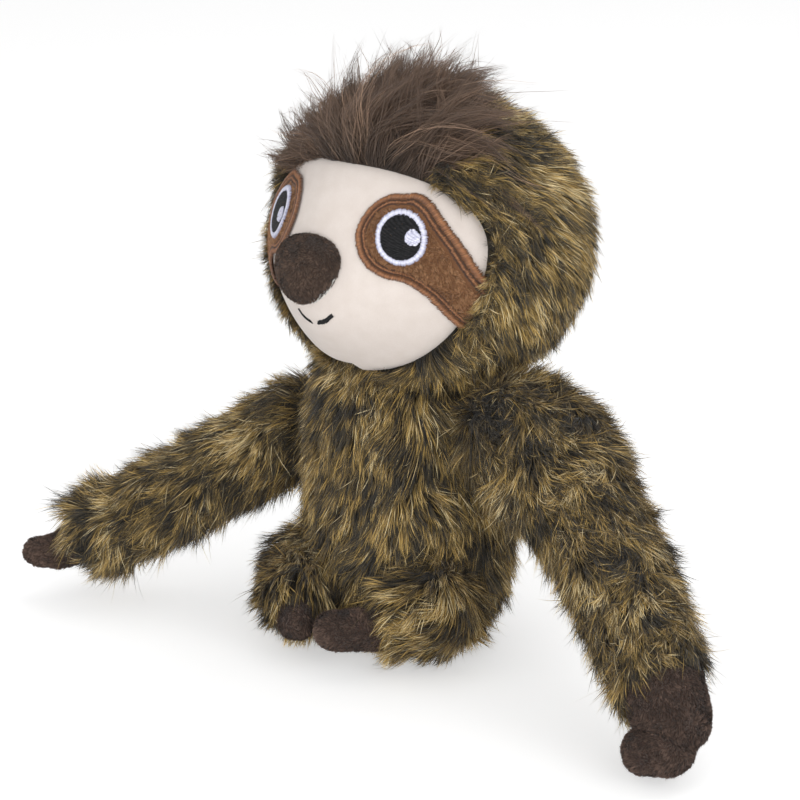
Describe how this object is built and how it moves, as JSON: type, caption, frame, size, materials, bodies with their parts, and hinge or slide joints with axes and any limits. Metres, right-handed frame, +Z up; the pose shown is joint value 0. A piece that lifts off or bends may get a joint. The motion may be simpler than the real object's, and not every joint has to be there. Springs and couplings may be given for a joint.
{
  "type": "plush sloth",
  "caption": "Seated soft toy sloth with long-pile fur, a smooth face, a stuffed nose, a hair tuft, and arms, legs, hands and feet that flex at their seams.",
  "frame": {"origin": "on the ground at the middle of the flat under the seat", "axes": "+Z up, the toy faces -Y, and its left arm is on +X"},
  "size_m": [0.3086, 0.1376, 0.222],
  "materials": {
    "fur": "long brindled pile, charcoal roots with gold-olive tips",
    "stuffing": "loose polyester fibre",
    "face_velour": "short smooth nap",
    "claw_fleece": "short plush fleece",
    "nose_velour": "short dense nap",
    "long_hair": "long straight pile",
    "eye_patch_velour": "short brushed nap",
    "border_thread": "satin stitch with a slight sheen",
    "white_thread": "satin stitch with a slight sheen",
    "black_thread": "filled embroidery stitch",
    "glint_thread": "satin stitch"
  },
  "bodies": {
    "body": {"body_fur_cover": "fur", "body_stuffing": "stuffing"},
    "head": {"head_fur_hood": "fur", "face_panel": "face_velour", "head_stuffing": "stuffing", "left_eye_patch_border": "border_thread", "left_eye_patch": "eye_patch_velour", "left_eye_white": "white_thread", "left_pupil": "black_thread", "left_eye_glint": "glint_thread", "left_mouth_stitches": "black_thread", "right_eye_patch_border": "border_thread", "right_eye_patch": "eye_patch_velour", "right_eye_white": "white_thread", "right_pupil": "black_thread", "right_eye_glint": "glint_thread", "right_mouth_stitches": "black_thread", "nose_cover": "nose_velour", "nose_stuffing": "stuffing", "hair_tuft": "long_hair"},
    "left_arm": {"left_arm_cover": "fur", "left_arm_stuffing": "stuffing"},
    "left_hand": {"left_hand_cover": "claw_fleece", "left_hand_stuffing": "stuffing"},
    "right_arm": {"right_arm_cover": "fur", "right_arm_stuffing": "stuffing"},
    "right_hand": {"right_hand_cover": "claw_fleece", "right_hand_stuffing": "stuffing"},
    "left_leg": {"left_leg_cover": "fur", "left_leg_stuffing": "stuffing"},
    "left_foot": {"left_foot_cover": "claw_fleece", "left_foot_stuffing": "stuffing"},
    "right_leg": {"right_leg_cover": "fur", "right_leg_stuffing": "stuffing"},
    "right_foot": {"right_foot_cover": "claw_fleece", "right_foot_stuffing": "stuffing"}
  },
  "joints": [
    {"name": "neck_turn", "type": "hinge", "parent": "body", "child": "head", "pos_m": [0, 0.012, 0.0965], "axis": [0, 0, 1], "range_deg": [-45, 45]},
    {"name": "left_shoulder", "type": "hinge", "parent": "body", "child": "left_arm", "pos_m": [0.0545, 0, 0.09], "axis": [-1, 0, 0], "range_deg": [-30, 100]},
    {"name": "left_wrist", "type": "hinge", "parent": "left_arm", "child": "left_hand", "pos_m": [0.145, -0.045, 0.031], "axis": [-0.336, 0.9419, 0], "range_deg": [-10, 30]},
    {"name": "right_shoulder", "type": "hinge", "parent": "body", "child": "right_arm", "pos_m": [-0.053, 0.001, 0.077], "axis": [-1, 0, 0], "range_deg": [-30, 100]},
    {"name": "right_wrist", "type": "hinge", "parent": "right_arm", "child": "right_hand", "pos_m": [-0.119, -0.046, 0.027], "axis": [0.7071, -0.7071, 0], "range_deg": [-10, 30]},
    {"name": "left_hip", "type": "hinge", "parent": "body", "child": "left_leg", "pos_m": [0.029, -0.021, 0.024], "axis": [0, 0, 1], "range_deg": [0, 35]},
    {"name": "left_ankle", "type": "hinge", "parent": "left_leg", "child": "left_foot", "pos_m": [0.018, -0.042, 0.0215], "axis": [-0.8107, 0.5855, 0], "range_deg": [-15, 15]},
    {"name": "right_hip", "type": "hinge", "parent": "body", "child": "right_leg", "pos_m": [-0.029, -0.021, 0.024], "axis": [0, 0, -1], "range_deg": [0, 35]},
    {"name": "right_ankle", "type": "hinge", "parent": "right_leg", "child": "right_foot", "pos_m": [-0.018, -0.042, 0.0215], "axis": [-0.8107, -0.5855, 0], "range_deg": [-15, 15]}
  ]
}
